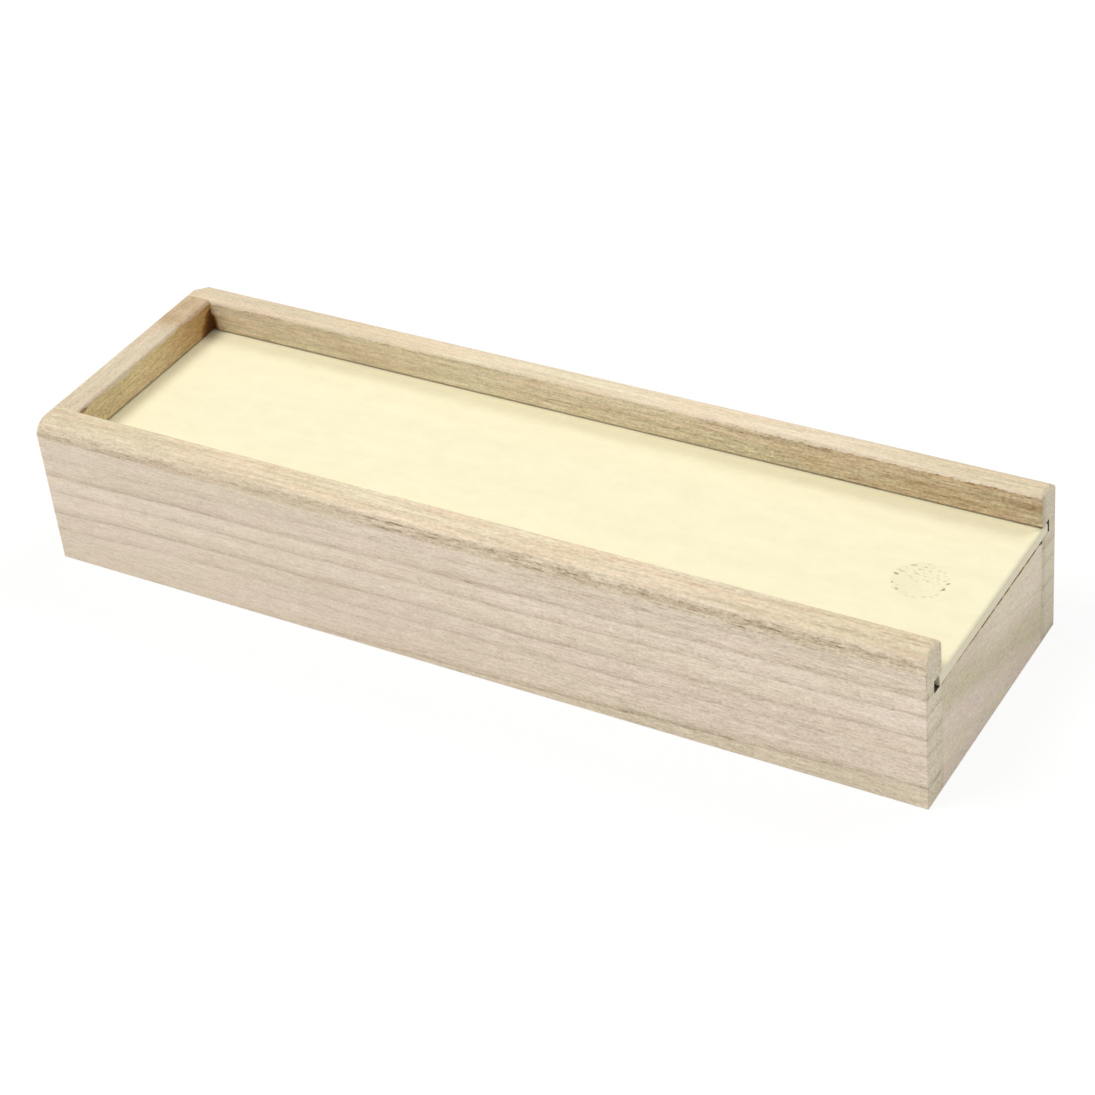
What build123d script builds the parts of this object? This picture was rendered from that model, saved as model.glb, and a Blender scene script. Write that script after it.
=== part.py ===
from build123d import *
import os

# A timber pencil box with a thin plywood lid that slides in grooves, in millimetres.
# X runs along the box and the lid draws out toward +X. Y runs across it, front at -Y. Z is up.
# The origin is at the middle of the underside.

# Outside of the box
box_length = 200.0
box_width = 60.0
box_height = 35.0

# Thickness of the boards
side_thickness = 6.5
closed_end_thickness = 7.0
open_end_thickness = 7.0

# Lid panel, and how far it reaches into the grooves
lid_thickness = 2.4
lid_side_reach = 1.75
lid_end_reach = 2.7

# Running gaps round the lid, and how far the loose lid lies off the middle, toward the back board
gap_under_lid = 0.1
gap_over_lid = 0.3
gap_beside_lid = 1.55
gap_behind_lid = 0.3
lid_offset = 0.85

# How far the rails stand above the lid's groove
rail_height = 7.2

# Bottom panel, the width of the ledge that it is let into, and the glue gap round it
bottom_thickness = 3.0
bottom_ledge = 3.0
bottom_corner_radius = 4.0
bottom_glue_gap = 0.15

# Rounded and eased edges
side_roundover = 2.8
closed_end_roundover = 2.1
top_corner_round = 5.3
rim_ease = 0.6
rail_end_ease = 1.3
closed_corner_ease = 0.7
open_corner_ease = 0.25
bottom_ease = 0.5
lid_pull_edge_ease = 0.8
lid_inner_corner_radius = 1.0

# Finger dimple in the lid, set back from the pull end, and off the lid's middle toward the front board
dimple_diameter = 11.0
dimple_depth = 0.6
dimple_setback = 14.5
dimple_offset = 0.9

# Sizes that follow from those above
closed_end_x = -box_length / 2
open_end_x = box_length / 2
front_y = -box_width / 2
back_y = box_width / 2

inner_width = box_width - 2 * side_thickness
inner_front_y = -inner_width / 2
inner_back_y = inner_width / 2
inner_closed_x = closed_end_x + closed_end_thickness
inner_open_x = open_end_x - open_end_thickness
inner_length = inner_open_x - inner_closed_x
inner_middle_x = (inner_open_x + inner_closed_x) / 2

groove_height = gap_under_lid + lid_thickness + gap_over_lid
groove_top = box_height - rail_height
groove_floor = groove_top - groove_height
groove_stop_x = inner_closed_x - lid_end_reach - gap_behind_lid
side_groove_depth = lid_side_reach + gap_beside_lid

lid_underside = groove_floor + gap_under_lid
lid_inner_x = inner_closed_x - lid_end_reach
lid_length = open_end_x - lid_inner_x
lid_width = inner_width + 2 * lid_side_reach


def span(low, high):
    """Box between two corners, each given as x, y, z."""
    sizes = [top - bottom for bottom, top in zip(low, high)]
    middles = [(top + bottom) / 2 for bottom, top in zip(low, high)]
    return Pos(*middles) * Box(*sizes)


def round_side(outline, axis, side, radius):
    """Outline with both corners of one side rounded: side 0 is the low side along the axis, -1 the high."""
    return fillet(outline.vertices().group_by(axis)[side], radius)


def round_corner(outline, x, y, radius):
    """Outline with the corner nearest a point rounded."""
    return fillet(outline.vertices().sort_by_distance(Vector(x, y))[0], radius)


def corner_view(side):
    """Solid seen square to a closed-end corner's diagonal, its top sanded round: side is -1 in front, 1 behind."""
    reach = (box_length + box_width) / 2 / 2**0.5
    outline = Pos(0, box_height / 2) * Rectangle(2 * reach, box_height)
    outline = round_corner(outline, reach, box_height, top_corner_round)
    diagonal = Plane(origin=(0, 0, 0), x_dir=(-1, side, 0), z_dir=(side, 1, 0))
    return extrude(diagonal * outline, amount=box_length, both=True)


def outside():
    """Outer form of the glued-up box, where its views from the end, the side, above and two corners meet."""
    end_view = Pos(0, box_height / 2) * Rectangle(box_width, box_height)
    end_view = round_side(end_view, Axis.Y, -1, side_roundover)
    end_view = round_side(end_view, Axis.Y, 0, bottom_ease)

    side_view = Pos(0, box_height / 2) * Rectangle(box_length, box_height)
    side_view = round_corner(side_view, closed_end_x, box_height, closed_end_roundover)
    side_view = round_corner(side_view, open_end_x, box_height, rail_end_ease)
    side_view = round_side(side_view, Axis.Y, 0, bottom_ease)

    plan = round_side(Rectangle(box_length, box_width), Axis.X, 0, closed_corner_ease)
    plan = round_side(plan, Axis.X, -1, open_corner_ease)

    along = extrude(Plane.YZ * end_view, amount=box_length, both=True)
    across = extrude(Plane.XZ * side_view, amount=box_width, both=True)
    upward = extrude(plan, amount=box_height)
    return along & across & upward & corner_view(-1) & corner_view(1)


def tall_walls():
    """The walls on three sides of the well, open toward +X, with the rim above the lid eased."""
    block = span((closed_end_x, front_y, 0), (open_end_x, back_y, box_height))
    walls = block - span((inner_closed_x, inner_front_y, 0), (open_end_x, inner_back_y, box_height))
    rim = walls.edges().filter_by_position(Axis.Z, box_height, box_height)
    rim = rim.filter_by_position(Axis.Y, inner_front_y, inner_back_y)
    rim = rim.filter_by_position(Axis.X, inner_closed_x, open_end_x)
    return outside() & fillet(rim, rim_ease)


def bottom_recess():
    """Rebate routed round the underside after glue-up, so its corners are round."""
    length = inner_length + 2 * bottom_ledge
    width = inner_width + 2 * bottom_ledge
    return Pos(inner_middle_x, 0) * extrude(
        RectangleRounded(length, width, bottom_corner_radius), amount=bottom_thickness
    )


def side_groove():
    """Lid groove of both side boards: it runs out at the open end, and stops round behind the closed end's."""
    run = open_end_x - groove_stop_x
    profile = Pos(groove_stop_x + run / 2, 0) * Rectangle(run, groove_height)
    profile += Pos(groove_stop_x, 0) * Circle(groove_height / 2)
    upright = Plane.XZ * Pos(0, groove_floor + groove_height / 2) * profile
    return extrude(upright, amount=inner_back_y + side_groove_depth, both=True)


def side_board(low_y, high_y):
    """Long wall between two places across the box."""
    blank = span((closed_end_x, low_y, 0), (open_end_x, high_y, box_height))
    return (tall_walls() & blank) - side_groove() - bottom_recess()


def closed_end_board():
    """Full-height end wall between the side boards, grooved across for the lid's inner end."""
    blank = span((closed_end_x, inner_front_y, 0), (inner_closed_x, inner_back_y, box_height))
    groove = span((groove_stop_x, inner_front_y, groove_floor), (inner_closed_x, inner_back_y, groove_top))
    return (tall_walls() & blank) - groove - bottom_recess()


def open_end_board():
    """Low end wall between the side boards; the lid passes over its top."""
    blank = span((inner_open_x, inner_front_y, 0), (open_end_x, inner_back_y, groove_floor))
    return (outside() & blank) - bottom_recess()


def bottom_panel():
    """Plywood panel glued into the rebate, flush with the underside."""
    reach = bottom_ledge - bottom_glue_gap
    outline = RectangleRounded(
        inner_length + 2 * reach, inner_width + 2 * reach, bottom_corner_radius - bottom_glue_gap
    )
    return Pos(inner_middle_x, 0) * extrude(outline, amount=bottom_thickness)


def finger_dimple():
    """Ball that leaves a shallow round dish in the lid's upper face."""
    dish_radius = dimple_diameter / 2
    ball_radius = (dish_radius**2 + dimple_depth**2) / (2 * dimple_depth)
    ball_z = lid_underside + lid_thickness - dimple_depth + ball_radius
    return Pos(open_end_x - dimple_setback, lid_offset - dimple_offset, ball_z) * Sphere(ball_radius)


def sliding_lid():
    """Plywood panel that runs in the grooves, its pull end flush with the open end."""
    plan = round_side(Rectangle(lid_length, lid_width), Axis.X, 0, lid_inner_corner_radius)
    panel = Pos(lid_inner_x + lid_length / 2, lid_offset, lid_underside) * extrude(plan, amount=lid_thickness)
    pull_edge = panel.faces().sort_by(Axis.X)[-1].edges().sort_by(Axis.Z)[-1]
    return fillet(pull_edge, lid_pull_edge_ease) - finger_dimple()


pieces = {
    "front_side": side_board(front_y, inner_front_y),
    "back_side": side_board(inner_back_y, back_y),
    "closed_end": closed_end_board(),
    "open_end": open_end_board(),
    "bottom_panel": bottom_panel(),
    "lid": sliding_lid(),
}

os.makedirs("parts", exist_ok=True)
for name, shape in pieces.items():
    export_step(shape, f"parts/{name}.step")
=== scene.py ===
import math
import bpy
from mathutils import Matrix, Vector


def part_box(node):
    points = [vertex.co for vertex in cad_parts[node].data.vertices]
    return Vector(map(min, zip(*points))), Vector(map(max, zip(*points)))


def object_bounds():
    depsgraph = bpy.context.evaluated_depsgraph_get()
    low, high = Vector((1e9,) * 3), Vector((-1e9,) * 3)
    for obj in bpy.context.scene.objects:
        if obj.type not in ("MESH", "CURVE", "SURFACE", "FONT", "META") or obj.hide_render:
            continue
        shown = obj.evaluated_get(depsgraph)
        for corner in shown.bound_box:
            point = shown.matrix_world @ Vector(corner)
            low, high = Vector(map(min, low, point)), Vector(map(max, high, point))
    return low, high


# The finish, light and camera for a timber pencil box with a sliding plywood lid.
# Blender works in metres. The wood patterns are written in millimetres, and MM turns them into metres.

MM = 0.001

# Camera: where it stands round the box, how far it is tipped, and its lens
CAMERA_AZIMUTH = 33.736
CAMERA_ELEVATION = 35.779
CAMERA_ROLL = -6.408
CAMERA_DISTANCE = 0.57164
CAMERA_TARGET = Vector((0.007975, -0.006727, 0.0175))
CAMERA_REACH = (0.01, 100.0)
PHOTO_SIDE_PX = 1095
PHOTO_FOCAL_PX = 2882.9
SENSOR_WIDTH = 36.0

# Lights: where each stands from the box, its side, its share of the light on a surface square to it, and its
# colour
LIGHTS = {
    "key": (Vector((-1.52, -1.40, 3.44)), 1.60, 0.53, (1.0, 0.985, 0.93)),
    "back": (Vector((1.20, 2.00, 3.25)), 1.40, 0.26, (1.0, 0.985, 0.94)),
}
SKY_STRENGTH = 0.36
SKY_COLOR = (0.985, 0.99, 1.03, 1.0)
SEEN_SKY_COLOR = (1.0, 1.0, 1.0, 1.0)
SEEN_SKY_STRENGTH = 1.0

# Floor: its side, its real tone, and how much of its shading and how much glow the camera sees
FLOOR_SIDE = 8.0
FLOOR_TONE = 0.88
FLOOR_SEEN_SHADING = 0.14
FLOOR_SEEN_GLOW = 0.875

# Colours of the wood, in linear light
TIMBER_PINK = (0.892, 0.757, 0.628)
TIMBER_OLIVE = (0.866, 0.755, 0.587)
TIMBER_END = (0.815, 0.735, 0.565)
OPEN_END_PINK = (0.920, 0.772, 0.655)
OPEN_END_OLIVE = (0.862, 0.780, 0.555)
# Near-black: mostly painted shade in the lid's groove and on the arris over it, also a chip and the dark line
# under the lid's end
BLACKENED_WOOD = (0.045, 0.028, 0.016)
# Dark brown of strong stains, also painted shadow in the well's back corner
DARK_STAIN_AND_SHADE = (0.100, 0.036, 0.006)
LID_FACE = (0.980, 0.922, 0.662)
LID_CORE = (0.970, 0.890, 0.700)
BOTTOM_FACE = (0.790, 0.660, 0.450)
BOTTOM_CORE = (0.690, 0.550, 0.360)
GLUE_LINE = (0.520, 0.400, 0.260)

# Tints, which multiply a colour
NO_TINT = (1.0, 1.0, 1.0)
CLOSED_END_TINT = (0.875, 0.86, 0.885)
OPEN_END_TINT = (0.97, 0.97, 0.99)
# The tops' tint: partly the sanded wood's tone, partly painted warm light on the faces that look up
SANDED_AND_LIT_TOP = (0.966, 0.956, 0.876)
# Inner tints: partly the rough wood's own tone, partly painted shade and painted yellow light bounced off the
# lid
SIDE_INNER_TINT = (0.855, 0.86, 0.815)
CLOSED_INNER_TINT = (0.955, 0.932, 0.682)
OPEN_INNER_TINT = (0.83, 0.83, 0.80)
ORANGE_TINT = (1.040, 0.980, 0.930)
GREEN_TINT = (0.965, 1.015, 0.975)
# Warm tone of weak stains, also painted shade toward the closed end's back corner
WARM_STAIN_AND_SHADE = (0.60, 0.38, 0.14)
ROUTER_TINT = (0.99, 0.975, 0.91)
SHADE_OF_DARK = (0.88, 1.0, 1.14)

# How the wood shines, and how deep the relief of its fibres is, in mm
GLOSS = 0.25
TIMBER_RELIEF = 0.08
PLYWOOD_RELIEF = 0.05

# Growth rings in the timber: the height of each dark line, in mm, and how dark it is. They repeat.
RING_PERIOD = 40.0
RINGS = (
    (2.2, 0.30), (7.3, 0.07), (10.3, 0.13), (14.5, 0.18),
    (19.8, 0.19), (23.9, 0.18), (28.0, 0.07), (33.3, 0.07),
)
RING_EDGE = 0.35
RING_FADE = 1.5
PALE_FROM, PALE_TO, PALE_LIFT = 14.8, 23.6, 0.055

# The lowest rings bend and fade below these heights, in mm. Each range after that gives two places along the
# board, in mm, and what lies beyond each: how far the rings are bent, in mm, or the share that is gone.
FOOT_FROM, FOOT_TO = 4.5, 9.0
FOOT_BEND = (10.0, 95.0, 0.6, -0.75)
FOOT_FADE = (-80.0, 40.0, 0.9, 0.2)

# Marks in the timber: size along the grain, across it and upward in mm, and the noise's detail and roughness
RING_WANDER = ((50, 40, 40), 1.0, 0.5)
RING_RIPPLE = ((9, 3, 3), 2.0, 0.5)
STREAK = ((45, 1.8, 1.8), 2.0, 0.5)
CLOUD = ((60, 16, 7), 1.0, 0.5)
FIBRE = ((8.0, 0.62, 0.50), 3.0, 0.6)
DASH = ((2.2, 0.55, 0.40), 2.0, 0.6)
SPECK = ((0.75, 0.50, 0.36), 1.0, 0.5)
COMB = ((22.0, 0.75, 0.75), 2.0, 0.6)
PORE = ((2.6, 0.44, 0.36), 1.0, 0.5)
TORN_EDGE = ((1.3, 1.3, 60), 3.0, 0.7)
TORN_SHRED = ((2.6, 2.6, 0.5), 2.0, 0.6)
CORNER_DARK_EDGE = ((2.2, 2.2, 1.4), 2.0, 0.6)

# Patches and waves in the timber: size along the grain, across it and upward in mm
RING_PATCH = (26, 6, 6)
PORE_PATCH = (24, 6, 4)
SCORCH_PATCH = (22, 9, 1.3)
TONE_PATCH = (36, 11, 7)
HUE_STRIPE = (24.0, 1.9, 1.7)
SIDE_BROWN_PATCH = (20, 4, 2.2)
CLOSED_BROWN_PATCH = (4.0, 3.0, 3.0)
EDGE_LINE_PATCH = (2.6, 2.6, 9.0)
BURR_WAVE = (30, 40, 40)
RIM_WAVE = (8, 8, 60)

# How far a pattern is moved away from the others that lie in the same wood, in mm
SHEET_SHIFT = (3, 5, 61)
PORE_SHIFT = (31, 17, 9)
SCORCH_SHIFT = (77, 3, 8)
HUE_SHIFT = (19, 2, 41)

# Marks in the plywood: size along X, Y and Z in mm, and the noise's detail and roughness
FACE_FIBRE = ((30, 0.5, 0.8), 3.0, 0.6)
FACE_FLECK = ((1.6, 0.22, 0.4), 2.0, 0.5)
FACE_CLOUD = ((38, 15, 20), 2.0, 0.5)
FACE_MOTTLE = ((6.0, 3.4, 3.0), 3.0, 0.6)
FLAME_WANDER = ((120, 18, 18), 2.0, 0.5)
EDGE_GRAIN = ((0.5, 0.5, 0.12), 2.0, 0.5)
DIMPLE_FLECK = ((1.15, 0.62, 3.0), 2.0, 0.6)
DIMPLE_CLUMP = ((2.6, 1.8, 9.0), 1.0, 0.5)

# How much each mark darkens the wood. A minus sign only turns the noise over.
FIBRE_DARK, DASH_DARK, SPECK_DARK = -0.25, -0.38, -0.34
STREAK_DARK, CLOUD_DARK, COMB_DARK = -0.10, -0.08, -0.52
PORE_DARK, BURR_DARK, SHRED_DARK = 0.17, 0.10, 0.34

# Between these places along a board, in mm, the fibres' strength changes
GROWING_FROM, GROWING_TO = -60.0, 60.0

# The tops are darker away from their palest place: from how far off it to how far off, in mm, and how much
TOP_DARKENS_FROM, TOP_DARKENS_TO, TOP_DARKENS_BY = 30.0, 90.0, 0.11

# How far below the top things lie, in mm: the sanded top's lower edge, the router's band, and its burr
TOP_FROM, TOP_FULL = 3.0, 1.5
BAND_FROM, BAND_FULL, BAND_FADES, BAND_ENDS = 4.6, 3.4, 1.8, 1.0
BURR_BELOW_TOP = 2.1

# The lid's groove: how far it reaches above the lid, and how deep it is in the side boards and the closed end
GAP_OVER_LID = 0.3
SIDE_GROOVE_DEPTH = 3.3
CLOSED_GROOVE_DEPTH = 3.0

# How far below the top the well's rounded rim ends
RIM_EASE = 0.55

# Where the well's rim was sanded lower. Each range gives two places along the box or across it, and how much
# lower the rim is beyond each, all in mm. The hollow lies between its four places and has its own depth.
SIDE_RIM_DIP = (-88.0, -80.0, 0.35, 0.0)
CORNER_RIM_DIP = (13.0, 18.0, 0.0, 0.45)
RIM_HOLLOW, RIM_HOLLOW_DEPTH = (-15.0, -11.0, -8.0, -3.5), 0.8

# Browned wood: two places along the box or across it, in mm, and how brown it is beyond each
BROWN_TOWARD_OPEN_END = (-15.0, 105.0, 0.0, 0.34)
BROWN_TOWARD_CLOSED_END = (-85.0, -15.0, 0.20, 0.0)
BROWN_CLOSED_TOP = (5.0, 15.0, 0.0, 0.26)

# The dark back corner, glue stain and painted shadow: its width on each board, how far below the rim it ends,
# in mm
SIDE_CORNER_DARK_WIDTH, SIDE_CORNER_DARK_DROP = 1.15, 2.2
CLOSED_CORNER_DARK_WIDTH, CLOSED_CORNER_DARK_DROP = 4.4, 0.5

# Small damage, in mm: how far its middle is from the nearest corner, and its half width and half height
NOTCH_FROM_CORNER, NOTCH_BELOW_RIM, NOTCH_REACH = 1.6, 0.35, (1.3, 0.55)
CHIP_FROM_CORNER, CHIP_REACH = 0.4, (1.5, 0.75)

# The finger dimple: its radius, and how far it is from the lid's pull end and off the lid's middle, in mm
DIMPLE_RADIUS = 5.5
DIMPLE_SETBACK = 14.5
DIMPLE_OFFSET = 0.9

# The worn arrises of the boards: their width in mm, the least angle between two faces that has one, and how
# near each other two corners of the mesh are joined first, in mm
ARRIS_WIDTH = 0.12
ARRIS_ANGLE = math.radians(40)
WELD_DISTANCE = 0.001


class Nodes:
    """Adds nodes to one material or world and joins them. Each value is a socket, a number or a tuple."""

    def __init__(self, material):
        self.tree = material.node_tree

    def add(self, kind, **settings):
        node = self.tree.nodes.new(kind)
        for name, value in settings.items():
            setattr(node, name, value)
        return node

    def feed(self, socket, value):
        if isinstance(value, bpy.types.NodeSocket):
            self.tree.links.new(value, socket)
        elif socket.type == "RGBA" and len(value) == 3:
            socket.default_value = (*value, 1.0)
        else:
            socket.default_value = value

    def math(self, operation, *values):
        node = self.add("ShaderNodeMath", operation=operation)
        for socket, value in zip(node.inputs, values):
            self.feed(socket, value)
        return node.outputs[0]

    def sum(self, *values):
        total = values[0]
        for value in values[1:]:
            total = self.math("ADD", total, value)
        return total

    def times(self, *values):
        total = values[0]
        for value in values[1:]:
            total = self.math("MULTIPLY", total, value)
        return total

    def minus(self, first, second):
        return self.math("SUBTRACT", first, second)

    def larger(self, first, second):
        return self.math("MAXIMUM", first, second)

    def apart(self, value, middle):
        """How far a value is from a middle one."""
        return self.math("ABSOLUTE", self.minus(value, middle))

    def distance(self, across, up):
        """How far a place is from where both its coordinates are 0."""
        return self.math("SQRT", self.sum(self.times(across, across), self.times(up, up)))

    def vector(self, operation, first, second):
        node = self.add("ShaderNodeVectorMath", operation=operation)
        self.feed(node.inputs[0], first)
        self.feed(node.inputs["Scale" if operation == "SCALE" else 1], second)
        return node.outputs["Vector"]

    def split(self, vector):
        node = self.add("ShaderNodeSeparateXYZ")
        self.feed(node.inputs[0], vector)
        return tuple(node.outputs)

    def join(self, x, y, z):
        node = self.add("ShaderNodeCombineXYZ")
        for socket, value in zip(node.inputs, (x, y, z)):
            self.feed(socket, value)
        return node.outputs[0]

    def noise(self, vector, size, detail=2.0, roughness=0.5):
        """Noise from 0 to 1 whose marks are size long each way."""
        node = self.add("ShaderNodeTexNoise", noise_dimensions="3D")
        self.feed(node.inputs["Vector"], self.vector("DIVIDE", vector, size))
        self.feed(node.inputs["Scale"], 1.0)
        self.feed(node.inputs["Detail"], detail)
        self.feed(node.inputs["Roughness"], roughness)
        return node.outputs["Fac"]

    def centred_noise(self, vector, size, detail=2.0, roughness=0.5):
        """Noise from about -0.5 to 0.5 whose marks are size long each way."""
        return self.minus(self.noise(vector, size, detail, roughness), 0.5)

    def between(self, value, low, high, start=0.0, end=1.0):
        """Start below low, end above high, and a smooth change from one to the other."""
        node = self.add("ShaderNodeMapRange", interpolation_type="SMOOTHSTEP")
        for socket, number in zip(node.inputs, (value, low, high, start, end)):
            self.feed(socket, number)
        return node.outputs[0]

    def fade(self, value, low, high):
        """1 below low and 0 above high."""
        return self.between(value, low, high, 1.0, 0.0)

    def within(self, value, low, full_from, full_to, high):
        """1 between the two middle values, and 0 below low and above high."""
        return self.times(self.between(value, low, full_from), self.fade(value, full_to, high))

    def ramp(self, value, stops):
        """Grey level along a list of (place, level), with places from 0 to 1."""
        node = self.add("ShaderNodeValToRGB")
        elements = node.color_ramp.elements
        while len(elements) < len(stops):
            elements.new(0.5)
        for element, (place, level) in zip(elements, sorted(stops)):
            element.position = place
            element.color = (level, level, level, 1.0)
        self.feed(node.inputs[0], value)
        return node.outputs[0]

    def mix(self, share, first, second, blend="MIX"):
        node = self.add("ShaderNodeMix", data_type="RGBA", blend_type=blend)
        self.feed(node.inputs[0], share)
        self.feed(node.inputs[6], first)
        self.feed(node.inputs[7], second)
        return node.outputs[2]

    def tint(self, color, tone, share=1.0):
        """Colour multiplied by a tone, in full or by a share."""
        return self.mix(share, color, tone, "MULTIPLY")

    def darken(self, color, amount):
        """Colour made darker and a little browner, by an amount from 0 to 1."""
        shade = self.vector("SCALE", SHADE_OF_DARK, amount)
        return self.vector("MULTIPLY", color, self.vector("SUBTRACT", (1.0, 1.0, 1.0), shade))


def new_material(name):
    """A material with nothing but its surface shader, and the Nodes that build it."""
    material = bpy.data.materials.new(name)
    material.use_nodes = True
    nodes = Nodes(material)
    shader = material.node_tree.nodes["Principled BSDF"]
    return material, nodes, shader


def place_in_mm(nodes):
    """Place on the object in millimetres, whole and as x, y and z."""
    here = nodes.vector("SCALE", nodes.add("ShaderNodeTexCoord").outputs["Object"], 1 / MM)
    return here, nodes.split(here)


def facing(nodes, axis):
    """How squarely the surface faces along an axis, from 0 to 1."""
    normal = nodes.split(nodes.add("ShaderNodeTexCoord").outputs["Normal"])
    return nodes.math("ABSOLUTE", normal["XYZ".index(axis)])


def finish_surface(nodes, shader, color, relief, depth, roughness):
    """Joins colour, relief and roughness to the surface shader. A relief of 1 stands depth mm high."""
    nodes.feed(shader.inputs["Base Color"], color)
    nodes.feed(shader.inputs["Roughness"], roughness)
    shader.inputs["Specular IOR Level"].default_value = GLOSS
    bump = nodes.add("ShaderNodeBump")
    bump.inputs["Strength"].default_value = 1.0
    bump.inputs["Distance"].default_value = depth * MM
    nodes.feed(bump.inputs["Height"], relief)
    nodes.feed(shader.inputs["Normal"], bump.outputs[0])


def ring_stops():
    """Ramp stops over one period of growth rings: each line has a sharp lower edge and fades slowly above."""
    stops = []
    for height, dark in RINGS:
        for place, level in (
            (height - RING_EDGE, 0.0), (height, dark),
            (height + RING_EDGE, 0.5 * dark), (height + RING_FADE, 0.0),
        ):
            stops.append((place / RING_PERIOD, level))
    return stops


def growth_rings(nodes, board):
    """How dark the growth rings are in a board, and a mask of the pale band among them."""
    wander = nodes.centred_noise(board.grain, *RING_WANDER)
    ripple = nodes.centred_noise(board.grain, *RING_RIPPLE)
    height = nodes.sum(board.height, nodes.times(wander, 2.0), nodes.times(ripple, 0.55))
    height = nodes.math("WRAP", height, RING_PERIOD, 0.0)
    line = nodes.ramp(nodes.math("DIVIDE", height, RING_PERIOD), ring_stops())
    strength = nodes.between(nodes.noise(board.grain, RING_PATCH), 0.30, 0.62, 0.8, 1.25)
    pale = nodes.within(height, PALE_FROM, PALE_FROM + 3.0, PALE_TO - 0.6, PALE_TO)
    gone = nodes.times(board.foot, nodes.between(board.along, *FOOT_FADE))
    return nodes.times(nodes.times(line, strength), nodes.minus(1.0, gone)), pale


def router_band(nodes, z):
    """1 in the rough band that the router leaves just under the box's rounded outer edge."""
    return nodes.within(z, TOP_Z - BAND_FROM, TOP_Z - BAND_FULL, TOP_Z - BAND_FADES, TOP_Z - BAND_ENDS)


def router_burr(nodes, z, along, grain):
    """1 on the line where the box's rounded outer edge meets its face, clearest toward +X."""
    wave = nodes.times(nodes.centred_noise(grain, BURR_WAVE, 1.0), 1.4)
    off_line = nodes.math("ABSOLUTE", nodes.sum(z, wave, BURR_BELOW_TOP - TOP_Z))
    return nodes.times(nodes.fade(off_line, 0.2, 0.9), nodes.between(along, -50.0, 40.0, 0.15, 1.0))


class Board:
    """Where a point lies in a timber board, in mm, and in which zones of its surface it is, from 0 to 1."""

    def __init__(self, nodes, grain_axis, shift, rise, cant, shorten, inside):
        _, (x, y, z) = place_in_mm(nodes)
        self.along, across = (x, y) if grain_axis == "X" else (y, x)

        # Places in the wood: as the board is cut, along its growth rings, and with shortened fibres
        self.foot = nodes.fade(z, FOOT_FROM, FOOT_TO)
        bend = nodes.times(self.foot, nodes.between(self.along, *FOOT_BEND))
        climb = nodes.times(self.along, -rise)
        self.height = nodes.sum(z, climb, nodes.times(across, cant), shift[2], bend)
        self.grain = nodes.vector("ADD", nodes.join(self.along, across, z), shift)
        self.sheet = nodes.vector("ADD", nodes.join(self.along, across, self.height), SHEET_SHIFT)
        grain_along, grain_across, grain_up = nodes.split(self.grain)
        self.fine = nodes.join(nodes.times(grain_along, shorten), grain_across, grain_up)

        # Zones of the surface
        self.end_grain = nodes.between(facing(nodes, grain_axis), 0.6, 0.9)
        side_grain = nodes.minus(1.0, self.end_grain)
        high_up = nodes.between(z, TOP_Z - TOP_FROM, TOP_Z - TOP_FULL)
        self.upper = nodes.times(nodes.between(facing(nodes, "Z"), 0.45, 0.85), high_up)
        inner_face, self.inner_dark, blackened, stain_and_shade = inside(nodes, x, y, z, self.grain)
        self.inner_face = nodes.times(inner_face, side_grain)
        self.blackened = nodes.times(blackened, side_grain)
        self.stain_and_shade = nodes.times(stain_and_shade, side_grain)
        outer = nodes.times(side_grain, nodes.minus(1.0, self.inner_face))
        self.band = nodes.times(router_band(nodes, z), outer)
        self.burr = nodes.times(router_burr(nodes, z, self.along, self.grain), outer)


def fibre_strength(nodes, board, coarse):
    """How strongly the fibres show: it changes along the board, and rough wood shows them most."""
    return nodes.times(
        nodes.between(board.along, GROWING_FROM, GROWING_TO, *coarse),
        nodes.sum(
            1.0, nodes.times(board.inner_face, 0.90), nodes.times(board.band, 0.45),
            nodes.times(board.upper, nodes.between(board.along, GROWING_FROM, GROWING_TO, 0.0, -0.24)),
        ),
    )


def pores(nodes, board, ring, strength):
    """Short dark pores, which crowd together in patches, on the growth rings and in the router's band."""
    crowd = nodes.between(nodes.noise(board.sheet, PORE_PATCH), 0.48, 0.66)
    pore = nodes.between(nodes.noise(nodes.vector("ADD", board.fine, PORE_SHIFT), *PORE), 0.56, 0.74)
    share = nodes.sum(0.20, nodes.times(crowd, 0.40), nodes.times(ring, 2.0), nodes.times(board.band, 0.55))
    return nodes.times(pore, share, strength)


def scorched_band(nodes, board):
    """How dark the router scorched its band, in long patches."""
    patches = nodes.noise(nodes.vector("ADD", board.sheet, SCORCH_SHIFT), SCORCH_PATCH)
    return nodes.times(board.band, nodes.between(patches, 0.36, 0.62, 0.03, 0.11))


def combed_lines(nodes, board, strength):
    """How dark the long fine lines are that run along the rails' tops and the unsanded faces."""
    lines = nodes.centred_noise(board.fine, *COMB)
    comb = nodes.times(lines, nodes.larger(board.upper, nodes.times(board.inner_face, 0.54)))
    return nodes.times(comb, strength, COMB_DARK)


def olive_streak_mask(nodes, board, height):
    """1 in the olive band that lies at a height among the growth rings. It hardly shows on the sanded top."""
    off_band = nodes.math("PINGPONG", nodes.minus(board.height, height), RING_PERIOD / 2)
    return nodes.times(nodes.fade(off_band, 1.0, 7.0), nodes.between(board.upper, 0.0, 1.0, 1.0, 0.15))


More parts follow.
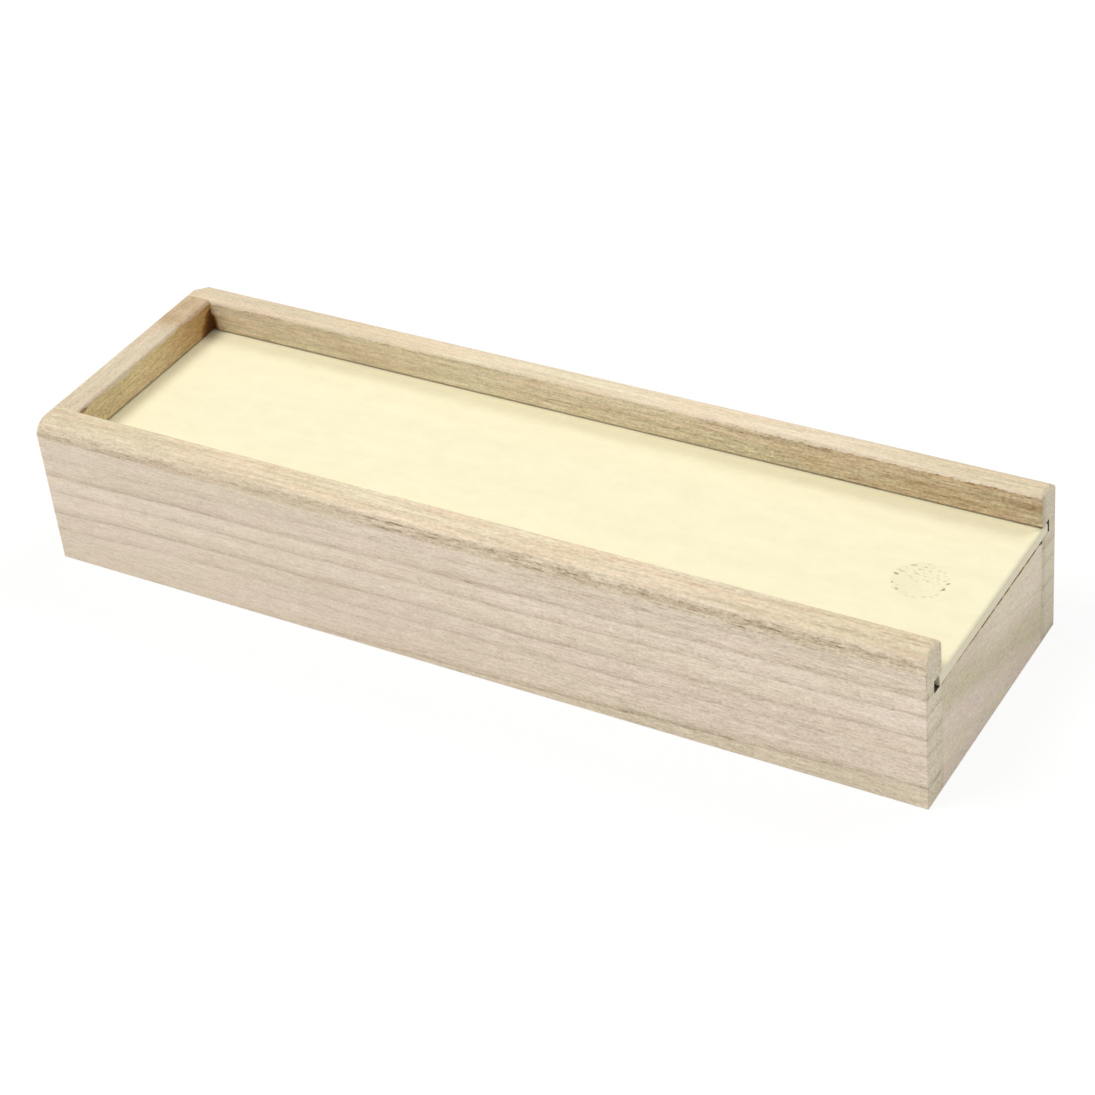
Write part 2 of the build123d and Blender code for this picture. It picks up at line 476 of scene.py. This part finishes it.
def timber_color(nodes, board, pink, olive, tone, inner, olive_streak):
    """Colour of the wood without its marks: two tones in patches, tinted by zone and in fine stripes."""
    patch = nodes.between(nodes.noise(board.sheet, TONE_PATCH), 0.34, 0.66)
    patch = nodes.larger(nodes.times(patch, 0.7), olive_streak)
    color = nodes.mix(patch, pink, olive)
    color = nodes.mix(board.end_grain, color, TIMBER_END)
    color = nodes.tint(color, tone)
    # The inner faces' tint is partly painted shade and painted light bounced off the lid
    color = nodes.tint(color, inner, board.inner_face)
    # The tops' tint is partly painted warm light
    color = nodes.tint(color, SANDED_AND_LIT_TOP, board.upper)
    stripes = nodes.noise(nodes.vector("ADD", board.grain, HUE_SHIFT), HUE_STRIPE)
    hue = nodes.mix(nodes.between(stripes, 0.36, 0.64), ORANGE_TINT, GREEN_TINT)
    share = nodes.sum(0.14, nodes.times(board.upper, 0.40), nodes.times(board.inner_face, 0.4))
    color = nodes.tint(color, hue, share)
    return nodes.tint(color, ROUTER_TINT, nodes.larger(board.band, board.burr))


def stain_shade_and_blackening(nodes, board, color):
    """Colour of the wood under stains and painted shade, warm where weak, nearly black where strong or
    blackened.
    """
    color = nodes.tint(color, WARM_STAIN_AND_SHADE, nodes.between(board.stain_and_shade, 0.0, 0.6))
    color = nodes.mix(nodes.between(board.stain_and_shade, 0.30, 1.02, 0.0, 0.98), color, DARK_STAIN_AND_SHADE)
    return nodes.mix(board.blackened, color, BLACKENED_WOOD)


def timber(
    name, grain_axis, inside, inner, shift, rise, cant, rings, coarse, olive_band=(0.0, 0.0), palest=30.0,
    shorten=1.0, pink=TIMBER_PINK, olive=TIMBER_OLIVE, tone=NO_TINT,
):
    """Bare sanded paulownia. Its grain runs along one axis, and its growth rings are nearly level sheets.

    inside gives where the unsanded inner faces are, how much darker the wood is there, how blackened and how
    stained and shaded, and inner tints those faces, partly with painted shade and painted light bounced off
    the lid.
    Much of the blackening is painted shade in the lid's groove, and part of the staining is painted shadow in
    the back corner. shift moves the pattern. rise is how much the rings climb along the grain, cant how much
    across it, and rings how dark they are. coarse is how strongly the fibres show toward the grain's low end
    and its high end. olive_band is the height among the rings of an olive band, and how dark it is. palest is
    where along the grain the top is darkened least. shorten is how many times shorter than usual the fibres
    look. pink and olive are the wood's two tones, and tone tints both.
    """
    material, nodes, shader = new_material(name)
    board = Board(nodes, grain_axis, shift, rise, cant, shorten, inside)
    ring, pale = growth_rings(nodes, board)
    strength = fibre_strength(nodes, board, coarse)
    pore = pores(nodes, board, ring, strength)
    fibre, dash, speck = (nodes.centred_noise(board.fine, *mark) for mark in (FIBRE, DASH, SPECK))
    fine_marks = nodes.sum(
        nodes.times(fibre, FIBRE_DARK), nodes.times(dash, DASH_DARK), nodes.times(speck, SPECK_DARK)
    )
    olive_streak = olive_streak_mask(nodes, board, olive_band[0])
    top_darkening = nodes.between(nodes.apart(board.along, palest), TOP_DARKENS_FROM, TOP_DARKENS_TO, 0.0, TOP_DARKENS_BY)
    dark = nodes.sum(
        nodes.times(ring, rings),
        nodes.times(pale, -PALE_LIFT * rings),
        nodes.times(fine_marks, strength),
        nodes.times(nodes.centred_noise(board.sheet, *STREAK), STREAK_DARK),
        nodes.times(nodes.centred_noise(board.sheet, *CLOUD), CLOUD_DARK),
        nodes.times(pore, PORE_DARK),
        scorched_band(nodes, board),
        board.inner_dark,
        nodes.times(olive_streak, olive_band[1]),
        nodes.times(board.upper, top_darkening),
        nodes.times(board.burr, BURR_DARK),
        combed_lines(nodes, board, strength),
    )
    color = timber_color(nodes, board, pink, olive, tone, inner, olive_streak)
    color = stain_shade_and_blackening(nodes, board, nodes.darken(color, dark))
    relief = nodes.sum(
        nodes.times(fibre, 0.5), nodes.times(dash, 0.5), nodes.times(speck, 0.35), nodes.times(pore, -0.5)
    )
    roughness = nodes.between(nodes.sum(dash, nodes.times(fibre, 0.6)), -0.25, 0.25, 0.80, 0.68)
    finish_surface(nodes, shader, color, relief, TIMBER_RELIEF, roughness)
    return material


def under_rim(nodes, z, grain, wobble, dip):
    """1 under the hand-rounded rim of the well and 0 above it, and how dark the torn fibres along it are.

    wobble is how much the rim wanders up and down, and dip how far below its usual height it was sanded.
    """
    wave = nodes.centred_noise(grain, RIM_WAVE, 1.0)
    ragged = nodes.centred_noise(grain, *TORN_EDGE)
    line_z = nodes.sum(RIM_Z, nodes.times(wave, wobble), nodes.times(ragged, 1.1), nodes.times(dip, -1.0))
    drop = nodes.minus(line_z, z)
    shreds = nodes.between(nodes.noise(grain, *TORN_SHRED), 0.50, 0.66)
    just_below = nodes.within(drop, -0.05, 0.1, 0.3, 0.7)
    return nodes.between(drop, -0.10, 0.10), nodes.times(just_below, shreds, SHRED_DARK)


def groove_painted_shade(nodes, x, z, depth, full_depth):
    """Painted shade in the lid's groove, darkest deep in it and toward the open end, and on the arris over
    it.

    depth is how far in a point lies from the board's inner face, and full_depth how deep the groove is.
    """
    in_groove = nodes.within(z, GROOVE_LOW - 0.06, GROOVE_LOW - 0.02, GROOVE_HIGH + 0.02, GROOVE_HIGH + 0.06)
    arris = nodes.within(z, GROOVE_HIGH - 0.05, GROOVE_HIGH, GROOVE_HIGH + 0.1, GROOVE_HIGH + 0.3)
    in_wood = nodes.fade(depth, full_depth + 0.5, full_depth + 0.9)
    toward_open_end = nodes.between(x, OPEN_X - 14.0, OPEN_X - 3.0, 0.50, 0.92)
    blackened = nodes.times(in_groove, nodes.between(depth, 0.0, 1.2, 0.35, 1.0), toward_open_end)
    return nodes.times(nodes.larger(blackened, nodes.times(arris, 0.35)), in_wood)


def corner_stain_and_shadow(nodes, from_corner, z, grain, width, top):
    """How dark the well's back corner is, glue stain and painted shadow: widest at the lid, gone above top
    and far below.
    """
    point = RIM_Z + 0.9
    share = nodes.math("DIVIDE", nodes.minus(point, z), point - GROOVE_HIGH)
    ragged = nodes.times(nodes.centred_noise(grain, *CORNER_DARK_EDGE), 0.6 * width)
    reach = nodes.sum(nodes.times(nodes.math("MINIMUM", share, 1.0), width), ragged)
    stain_and_shadow = nodes.between(nodes.minus(reach, from_corner), -0.85 * width, 0.60 * width)
    return nodes.times(stain_and_shadow, nodes.fade(z, top - 1.4, top), nodes.between(z, GROOVE_LOW - 7.0, GROOVE_LOW))


def spot(nodes, place, middle, reach):
    """1 in an oval, soft at its edge. place, middle and reach are pairs, across and up."""
    across, up = (
        nodes.math("DIVIDE", nodes.minus(here, centre), half)
        for here, centre, half in zip(place, middle, reach)
    )
    return nodes.fade(nodes.distance(across, up), 0.6, 1.0)


def browned_side(nodes, x, grain):
    """How brown a side board's inner face is: in patches, and more toward both ends."""
    brown = nodes.sum(nodes.between(x, *BROWN_TOWARD_OPEN_END), nodes.between(x, *BROWN_TOWARD_CLOSED_END))
    return nodes.times(brown, nodes.between(nodes.noise(grain, SIDE_BROWN_PATCH), 0.30, 0.70, 0.75, 1.25))


def side_inside(nodes, x, y, z, grain):
    """A side board's inner face and groove, its torn rim, its stains, and painted shade in its groove and
    back corner.
    """
    depth = nodes.minus(nodes.math("ABSOLUTE", y), SIDE_INNER_Y)
    under, torn = under_rim(nodes, z, grain, 0.5, nodes.between(x, *SIDE_RIM_DIP))
    near = nodes.fade(depth, 1.0, 1.5)
    blackened = groove_painted_shade(nodes, x, z, depth, SIDE_GROOVE_DEPTH)
    at_back = nodes.math("GREATER_THAN", y, 0.0)
    from_corner = nodes.minus(x, CLOSED_INNER_X)
    # Glue stain and painted shadow of the closed end in the back corner
    stain_and_shadow = corner_stain_and_shadow(nodes, from_corner, z, grain, SIDE_CORNER_DARK_WIDTH, RIM_Z - SIDE_CORNER_DARK_DROP)
    in_well = nodes.between(x, CLOSED_INNER_X - 0.6, CLOSED_INNER_X - 0.1)
    stain_and_shadow = nodes.times(stain_and_shadow, near, at_back, in_well, 0.9)
    above_floor = nodes.between(z, GROOVE_LOW - 7.0, GROOVE_LOW)
    brown = nodes.times(browned_side(nodes, x, grain), near, under, above_floor)
    brown = nodes.times(brown, nodes.between(z, GROOVE_HIGH + 0.5, GROOVE_HIGH + 3.5, 0.72, 1.0))
    stain_and_shadow = nodes.larger(stain_and_shadow, nodes.times(brown, 0.8))
    on_end_face = nodes.between(x, OPEN_X - 0.5, OPEN_X - 0.1)
    by_joint = nodes.times(nodes.between(depth, 0.6, 2.6, 0.11, 0.0), on_end_face)
    torn = nodes.times(torn, near, nodes.between(x, -20.0, 90.0, 0.9, 1.5))
    dark = nodes.sum(torn, nodes.times(by_joint, at_back), nodes.times(brown, 0.25))
    return nodes.times(near, under), dark, blackened, stain_and_shadow


def closed_end_inside(nodes, x, y, z, grain):
    """The closed end's inner face and groove, its torn rim, its stains, and painted shade in its groove and
    back corner.
    """
    depth = nodes.minus(CLOSED_INNER_X, x)
    hollow = nodes.times(nodes.within(y, *RIM_HOLLOW), RIM_HOLLOW_DEPTH)
    dip = nodes.sum(hollow, nodes.between(y, *CORNER_RIM_DIP))
    under, torn = under_rim(nodes, z, grain, 1.0, dip)
    near = nodes.fade(depth, 1.0, 1.5)
    # Painted shade, deepening toward the back corner
    toward_corner = nodes.times(nodes.between(y, -8.0, SIDE_INNER_Y + 3.0, 0.0, 0.44), under)
    toward_corner = nodes.times(toward_corner, nodes.between(z, GROOVE_LOW - 12.0, GROOVE_LOW, 0.2, 1.0))
    blackened = groove_painted_shade(nodes, x, z, depth, CLOSED_GROOVE_DEPTH)
    from_corner = nodes.minus(SIDE_INNER_Y, y)
    # Glue stain and painted shadow in the back corner
    stain_and_shadow = corner_stain_and_shadow(nodes, from_corner, z, grain, CLOSED_CORNER_DARK_WIDTH, RIM_Z - CLOSED_CORNER_DARK_DROP)
    stain_and_shadow = nodes.times(nodes.larger(stain_and_shadow, toward_corner), near)
    patches = nodes.between(nodes.noise(grain, CLOSED_BROWN_PATCH), 0.30, 0.70, 0.80, 1.20)
    on_top = nodes.between(z, TOP_Z - 3.0, TOP_Z - 1.2)
    brown_top = nodes.times(nodes.between(y, *BROWN_CLOSED_TOP), on_top, patches)
    stain_and_shadow = nodes.larger(stain_and_shadow, brown_top)
    notch_place = (NOTCH_FROM_CORNER - SIDE_INNER_Y, RIM_Z - NOTCH_BELOW_RIM)
    notch = spot(nodes, (y, z), notch_place, NOTCH_REACH)
    dark = nodes.times(nodes.sum(torn, nodes.times(notch, 0.5)), near)
    return nodes.times(near, under), dark, blackened, stain_and_shadow


def open_end_inside(nodes, x, y, z, grain):
    """The open end's inner face, its glue lines and pale patch, a chip, and a dark line along its top edge
    under the lid.
    """
    near = nodes.fade(x, OPEN_INNER_X + 0.1, OPEN_INNER_X + 0.6)
    blotch = nodes.between(nodes.noise(grain, EDGE_LINE_PATCH), 0.35, 0.60, 0.35, 1.0)
    worst = nodes.between(y, -24.0, 6.0, 0.25, 0.80)
    below_top = nodes.between(z, GROOVE_LOW - 0.70, GROOVE_LOW - 0.10)
    at_arris = nodes.times(below_top, nodes.between(x, OPEN_X - 0.8, OPEN_X - 0.2))
    edge_line = nodes.times(at_arris, blotch, worst)
    chip = spot(nodes, (y, z), (SIDE_INNER_Y - CHIP_FROM_CORNER, GROOVE_LOW), CHIP_REACH)
    chip = nodes.times(chip, 0.98, nodes.between(x, OPEN_X - 1.5, OPEN_X - 0.9))
    at_joint = nodes.between(nodes.math("ABSOLUTE", y), SIDE_INNER_Y - 0.35, SIDE_INNER_Y - 0.1)
    glue = nodes.times(nodes.between(y, 0.0, 1.0, 0.12, 0.26), at_joint)
    pale = nodes.times(nodes.between(y, -14.0, 8.0), nodes.between(z, 11.0, 19.0), -0.10)
    return near, nodes.sum(glue, pale), nodes.larger(chip, nodes.times(edge_line, 0.55)), edge_line


def plies(nodes, z, low, high, face_color, core_color, face_share):
    """Colour of a three-ply panel by height, and a mask of its two glue lines."""
    share = nodes.math("DIVIDE", nodes.minus(z, low), high - low)
    from_middle = nodes.apart(share, 0.5)
    line = 0.5 - face_share
    outer = nodes.between(from_middle, line - 0.02, line + 0.02)
    glue = nodes.fade(nodes.apart(from_middle, line), 0.02, 0.05)
    return nodes.mix(outer, core_color, face_color), glue


def plywood(name, low, high, face_color, core_color, marks, face_share, figure):
    """Three-ply panel with its face grain along X, between two corners of its box, low and high.

    marks gives how dark the marks on the panel are. face_share is how much of the panel's thickness one face
    veneer takes, and figure how strongly the face grain shows.
    """
    material, nodes, shader = new_material(name)
    here, (_, y, z) = place_in_mm(nodes)
    fibre = nodes.centred_noise(here, *FACE_FIBRE)
    wander = nodes.noise(here, *FLAME_WANDER)
    flame = nodes.math("SINE", nodes.sum(nodes.times(y, 0.55), nodes.times(wander, 26.0)))
    fleck = nodes.centred_noise(here, *FACE_FLECK)
    cloud = nodes.centred_noise(here, *FACE_CLOUD)
    mottle = nodes.centred_noise(here, *FACE_MOTTLE)

    level = nodes.between(facing(nodes, "Z"), 0.45, 0.75)
    edge_color, glue = plies(nodes, z, low.z / MM, high.z / MM, face_color, core_color, face_share)
    edge_grain = nodes.centred_noise(here, *EDGE_GRAIN)
    edge_color = nodes.darken(edge_color, nodes.times(edge_grain, 0.22))
    edge_color = nodes.mix(nodes.times(glue, 0.3), edge_color, GLUE_LINE)
    color = nodes.mix(level, edge_color, face_color)
    dark = nodes.sum(
        nodes.times(fibre, -0.10 * figure), nodes.times(flame, 0.018 * figure),
        nodes.times(fleck, -0.10 * figure), nodes.times(cloud, -0.07 * figure), nodes.times(mottle, -0.12)
    )
    dark = nodes.sum(nodes.times(dark, level), marks(nodes, here))
    color = nodes.darken(color, dark)
    relief = nodes.sum(nodes.times(fibre, 0.6), nodes.times(fleck, 0.5), nodes.times(dark, -2.0))
    roughness = nodes.between(fibre, -0.2, 0.2, 0.66, 0.56)
    finish_surface(nodes, shader, color, relief, PLYWOOD_RELIEF, roughness)
    return material


def specks(nodes, here, cell, size, share):
    """Small dark specks, one in each of a share of the cells, which reach size across the grain."""
    stretched = nodes.vector("DIVIDE", here, (2.2 * cell, cell, cell))
    node = nodes.add("ShaderNodeTexVoronoi", feature="F1", voronoi_dimensions="3D")
    nodes.feed(node.inputs["Vector"], stretched)
    node.inputs["Scale"].default_value = 1.0
    chosen = nodes.between(nodes.split(node.outputs["Color"])[0], 1.0 - share, 1.0 - share + 0.01)
    return nodes.times(chosen, nodes.fade(node.outputs["Distance"], 0.3 * size / cell, size / cell))


def lid_marks(nodes, here):
    """Dark marks on the lid: stray specks, and the flecks and faint shade of the finger dimple."""
    x, y, _ = nodes.split(here)
    stray = nodes.times(specks(nodes, here, cell=9.0, size=0.30, share=0.3), 0.3)
    dx = nodes.minus(x, DIMPLE_X)
    dy = nodes.minus(y, DIMPLE_Y)
    radius = nodes.distance(dx, dy)
    rim = nodes.fade(nodes.apart(radius, DIMPLE_RADIUS - 0.6), 0.2, 1.1)
    across_share = nodes.math("DIVIDE", nodes.math("ABSOLUTE", dx), DIMPLE_RADIUS)
    across_grain = nodes.between(across_share, 0.3, 1.0, 0.25, 1.0)
    inside_rim = nodes.fade(radius, DIMPLE_RADIUS - 1.2, DIMPLE_RADIUS - 0.4)
    in_dish = nodes.times(inside_rim, nodes.between(dy, -1.0, 2.5, 0.12, 0.5))
    place = nodes.larger(nodes.times(rim, across_grain), in_dish)
    flecks = nodes.between(nodes.noise(here, *DIMPLE_FLECK), 0.54, 0.63)
    clump = nodes.between(nodes.noise(here, *DIMPLE_CLUMP), 0.34, 0.60, 0.35, 1.0)
    dimple_flecks = nodes.times(flecks, place, clump, 0.72)
    dish = nodes.between(radius, DIMPLE_RADIUS - 0.4, DIMPLE_RADIUS, 0.025, 0.0)
    return nodes.sum(nodes.larger(stray, dimple_flecks), dish)


def bottom_marks(nodes, here):
    """Dark marks on the bottom panel: a few specks."""
    return nodes.times(specks(nodes, here, cell=7.0, size=0.4, share=0.3), 0.35)


def dress(node_name, material):
    """Gives a node its one material."""
    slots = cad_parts[node_name].data.materials
    slots.clear()
    slots.append(material)


def soften_arrises(node_name):
    """Takes the sharpness off a node's arrises, so that a joint between two boards reads as a fine line."""
    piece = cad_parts[node_name]
    piece.modifiers.new("weld", "WELD").merge_threshold = WELD_DISTANCE * MM
    bevel = piece.modifiers.new("arris", "BEVEL")
    bevel.width = ARRIS_WIDTH * MM
    bevel.segments = 2
    bevel.limit_method = "ANGLE"
    bevel.angle_limit = ARRIS_ANGLE


def make_camera():
    """Camera at the photograph's viewpoint."""
    azimuth, elevation = math.radians(CAMERA_AZIMUTH), math.radians(CAMERA_ELEVATION)
    back = Vector((
        math.sin(azimuth) * math.cos(elevation), -math.cos(azimuth) * math.cos(elevation), math.sin(elevation)
    ))
    data = bpy.data.cameras.new("camera")
    data.sensor_width = SENSOR_WIDTH
    data.lens = PHOTO_FOCAL_PX / PHOTO_SIDE_PX * SENSOR_WIDTH
    data.clip_start, data.clip_end = CAMERA_REACH
    camera = bpy.data.objects.new("camera", data)
    bpy.context.scene.collection.objects.link(camera)
    upright = (-back).to_track_quat("-Z", "Y").to_matrix()
    turned = upright @ Matrix.Rotation(math.radians(CAMERA_ROLL), 3, "Z")
    camera.matrix_world = Matrix.Translation(CAMERA_TARGET + CAMERA_DISTANCE * back) @ turned.to_4x4()
    bpy.context.scene.camera = camera


def make_light(name, place, side, share, color):
    """Square soft light that points at the box. share is its part of the light on a surface square to it."""
    data = bpy.data.lights.new(name, "AREA")
    data.shape = "SQUARE"
    data.size = side
    data.energy = share * math.pi**2 * place.length_squared
    data.color = color
    light = bpy.data.objects.new(name, data)
    bpy.context.scene.collection.objects.link(light)
    light.location = place
    light.rotation_mode = "QUATERNION"
    light.rotation_quaternion = (-place).to_track_quat("-Z", "Y")


def background_rays(nodes):
    """1 for rays that show the background itself: seen by the camera, in gloss or through glass."""
    path = nodes.add("ShaderNodeLightPath")
    seen = nodes.larger(path.outputs["Is Camera Ray"], path.outputs["Is Glossy Ray"])
    return nodes.larger(seen, path.outputs["Is Transmission Ray"])


def make_sky():
    """Even light from all round, seen as plain white."""
    world = bpy.data.worlds.new("sky")
    bpy.context.scene.world = world
    world.use_nodes = True
    nodes = Nodes(world)
    nodes.tree.nodes.clear()
    seen = background_rays(nodes)
    background = nodes.add("ShaderNodeBackground")
    nodes.feed(background.inputs["Color"], nodes.mix(seen, SKY_COLOR, SEEN_SKY_COLOR))
    nodes.feed(background.inputs["Strength"], nodes.between(seen, 0.0, 1.0, SKY_STRENGTH, SEEN_SKY_STRENGTH))
    output = nodes.add("ShaderNodeOutputWorld")
    nodes.feed(output.inputs["Surface"], background.outputs[0])


def make_floor():
    """Pale floor under the box. The camera sees it nearly white, with the box's soft shadow on it."""
    half = FLOOR_SIDE / 2
    mesh = bpy.data.meshes.new("floor")
    corners = [(-half, -half, 0), (half, -half, 0), (half, half, 0), (-half, half, 0)]
    mesh.from_pydata(corners, [], [(0, 1, 2, 3)])
    floor = bpy.data.objects.new("floor", mesh)
    bpy.context.scene.collection.objects.link(floor)
    material = bpy.data.materials.new("floor")
    material.use_nodes = True
    nodes = Nodes(material)
    nodes.tree.nodes.clear()
    seen = background_rays(nodes)
    diffuse = nodes.add("ShaderNodeBsdfDiffuse")
    tone = nodes.between(seen, 0.0, 1.0, FLOOR_TONE, FLOOR_SEEN_SHADING)
    nodes.feed(diffuse.inputs["Color"], nodes.join(tone, tone, tone))
    glow = nodes.add("ShaderNodeEmission")
    nodes.feed(glow.inputs["Strength"], nodes.between(seen, 0.0, 1.0, 0.0, FLOOR_SEEN_GLOW))
    both = nodes.add("ShaderNodeAddShader")
    nodes.feed(both.inputs[0], diffuse.outputs[0])
    nodes.feed(both.inputs[1], glow.outputs[0])
    output = nodes.add("ShaderNodeOutputMaterial")
    nodes.feed(output.inputs["Surface"], both.outputs[0])
    mesh.materials.append(material)


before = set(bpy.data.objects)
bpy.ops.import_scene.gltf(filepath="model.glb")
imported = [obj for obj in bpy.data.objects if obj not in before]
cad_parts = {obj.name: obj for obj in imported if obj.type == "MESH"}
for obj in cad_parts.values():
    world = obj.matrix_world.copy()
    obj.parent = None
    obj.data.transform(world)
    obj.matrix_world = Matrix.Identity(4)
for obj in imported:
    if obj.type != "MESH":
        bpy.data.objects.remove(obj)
cad_low, cad_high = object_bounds()

# Places on the box, in mm, from the model's parts
_, front_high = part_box("front_side")
_, closed_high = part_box("closed_end")
open_low, open_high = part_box("open_end")
lid_low, lid_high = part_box("lid")
bottom_low, bottom_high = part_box("bottom_panel")
SIDE_INNER_Y = -front_high.y / MM
CLOSED_INNER_X = closed_high.x / MM
OPEN_INNER_X = open_low.x / MM
OPEN_X = open_high.x / MM
TOP_Z = cad_high.z / MM
RIM_Z = TOP_Z - RIM_EASE
GROOVE_LOW = open_high.z / MM
GROOVE_HIGH = lid_high.z / MM + GAP_OVER_LID
DIMPLE_X = lid_high.x / MM - DIMPLE_SETBACK
DIMPLE_Y = (lid_low.y + lid_high.y) / 2 / MM - DIMPLE_OFFSET

make_camera()
for light_name, (place, side, share, color) in LIGHTS.items():
    make_light(light_name, place, side, share, color)
make_sky()
make_floor()

dress("front_side", timber(
    "front_timber", "X", side_inside, SIDE_INNER_TINT,
    shift=(0, 0, 1.5), rise=0.0225, cant=0.05, rings=1.08, coarse=(1.05, 1.65), olive_band=(39.0, 0.065),
))
dress("back_side", timber(
    "back_timber", "X", side_inside, SIDE_INNER_TINT,
    shift=(140, 12, 1.4), rise=0.012, cant=0.07, rings=0.8, coarse=(0.80, 1.30), olive_band=(31.0, 0.03),
    palest=5.0,
))
dress("closed_end", timber(
    "closed_timber", "Y", closed_end_inside, CLOSED_INNER_TINT,
    shift=(60, 47, 7), rise=0.03, cant=0.10, rings=0.7, coarse=(1.10, 1.10), shorten=2.6,
    tone=CLOSED_END_TINT,
))
dress("open_end", timber(
    "open_timber", "Y", open_end_inside, OPEN_INNER_TINT,
    shift=(-210, 33, 9), rise=-0.32, cant=0.12, rings=0.18, coarse=(1.35, 1.35), olive_band=(35.0, 0.10),
    shorten=2.6, pink=OPEN_END_PINK, olive=OPEN_END_OLIVE, tone=OPEN_END_TINT,
))
dress("bottom_panel", plywood(
    "bottom_plywood", bottom_low, bottom_high, BOTTOM_FACE, BOTTOM_CORE, bottom_marks,
    face_share=0.24, figure=2.4,
))
dress("lid", plywood(
    "lid_plywood", lid_low, lid_high, LID_FACE, LID_CORE, lid_marks,
    face_share=0.27, figure=0.4,
))

for board in ("front_side", "back_side", "closed_end", "open_end"):
    soften_arrises(board)

bpy.context.scene.view_settings.view_transform = "Standard"
